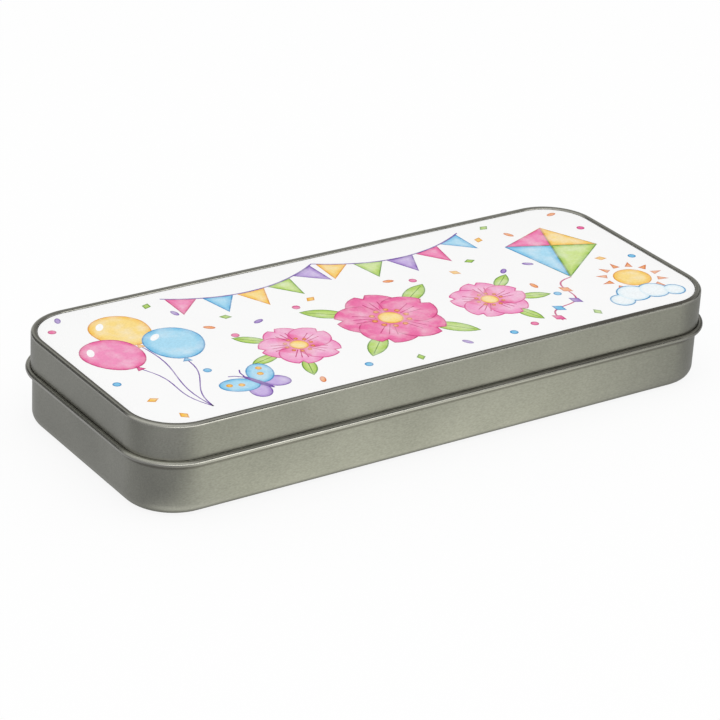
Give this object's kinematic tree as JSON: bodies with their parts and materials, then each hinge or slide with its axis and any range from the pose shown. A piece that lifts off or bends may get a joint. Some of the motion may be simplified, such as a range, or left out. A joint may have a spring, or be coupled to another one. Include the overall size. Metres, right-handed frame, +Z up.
{
  "type": "stationery tin",
  "caption": "Low rectangular stationery tin with rounded corners, a hinged lid with a rolled edge, and a printed panel set into the lid.",
  "frame": {"origin": "on the surface that the tin stands on, under the middle of the closed tin", "axes": "+X along the tin, +Y towards the hinged back, +Z up"},
  "size_m": [0.203, 0.085, 0.0288],
  "materials": {
    "tinplate": "satin",
    "panel": "gloss white coating with a colour print",
    "adhesive": "matte",
    "wire": "drawn"
  },
  "bodies": {
    "base": {"base_tray": "tinplate", "hinge_strap_left": "tinplate", "hinge_strap_right": "tinplate"},
    "lid": {"lid_shell": "tinplate", "printed_panel": "panel", "panel_adhesive": "adhesive", "hinge_pin_left": "wire", "hinge_pin_right": "wire"}
  },
  "joints": [
    {"name": "lid_hinge", "type": "hinge", "parent": "base", "child": "lid", "pos_m": [0, 0.0416, 0.0171], "axis": [-1, 0, 0], "range_deg": [0, 180]}
  ]
}
